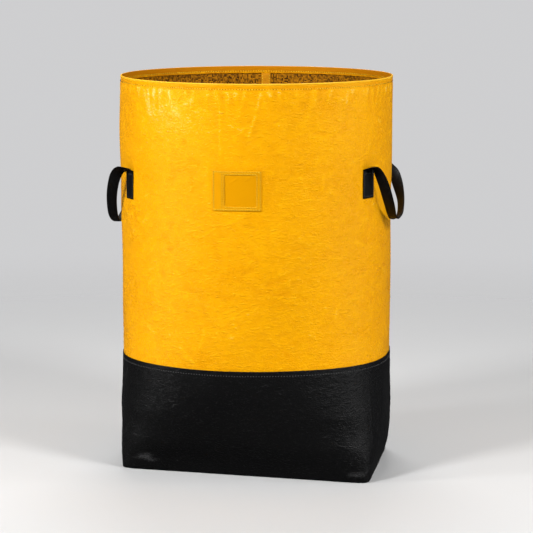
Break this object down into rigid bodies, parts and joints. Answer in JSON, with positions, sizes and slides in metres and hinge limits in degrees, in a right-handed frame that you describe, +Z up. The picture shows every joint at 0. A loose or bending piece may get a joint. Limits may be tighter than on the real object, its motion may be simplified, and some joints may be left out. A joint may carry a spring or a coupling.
{
  "type": "moving sack",
  "caption": "Tall round sack of coated cloth for moving and storage, open at the top, with a dark lower wall, a flat rectangular base, a plain patch and webbing handles on its sides.",
  "frame": {"origin": "centre of the whole sack seen from above, on the floor it stands on", "axes": "+Z up, the front with the patch faces -Y, the handles are on the +X and -X sides"},
  "size_m": [0.6595, 0.604, 0.866],
  "materials": {
    "yellow_cloth": "coated woven cloth with a soft gloss",
    "yellow_hem": "coated woven cloth folded over and stitched",
    "black_cloth": "coated woven cloth with a soft gloss",
    "seam_tape": "plain woven tape",
    "patch_cloth": "smooth coated cloth",
    "black_webbing": "smooth satin webbing"
  },
  "bodies": {
    "root": {"upper_wall": "yellow_cloth", "rim_hem": "yellow_hem", "lower_wall": "black_cloth", "base_panel": "black_cloth", "back_seam": "seam_tape", "label_patch": "patch_cloth", "label_frame": "patch_cloth", "handle_right": "black_webbing", "handle_left": "black_webbing"}
  },
  "joints": []
}
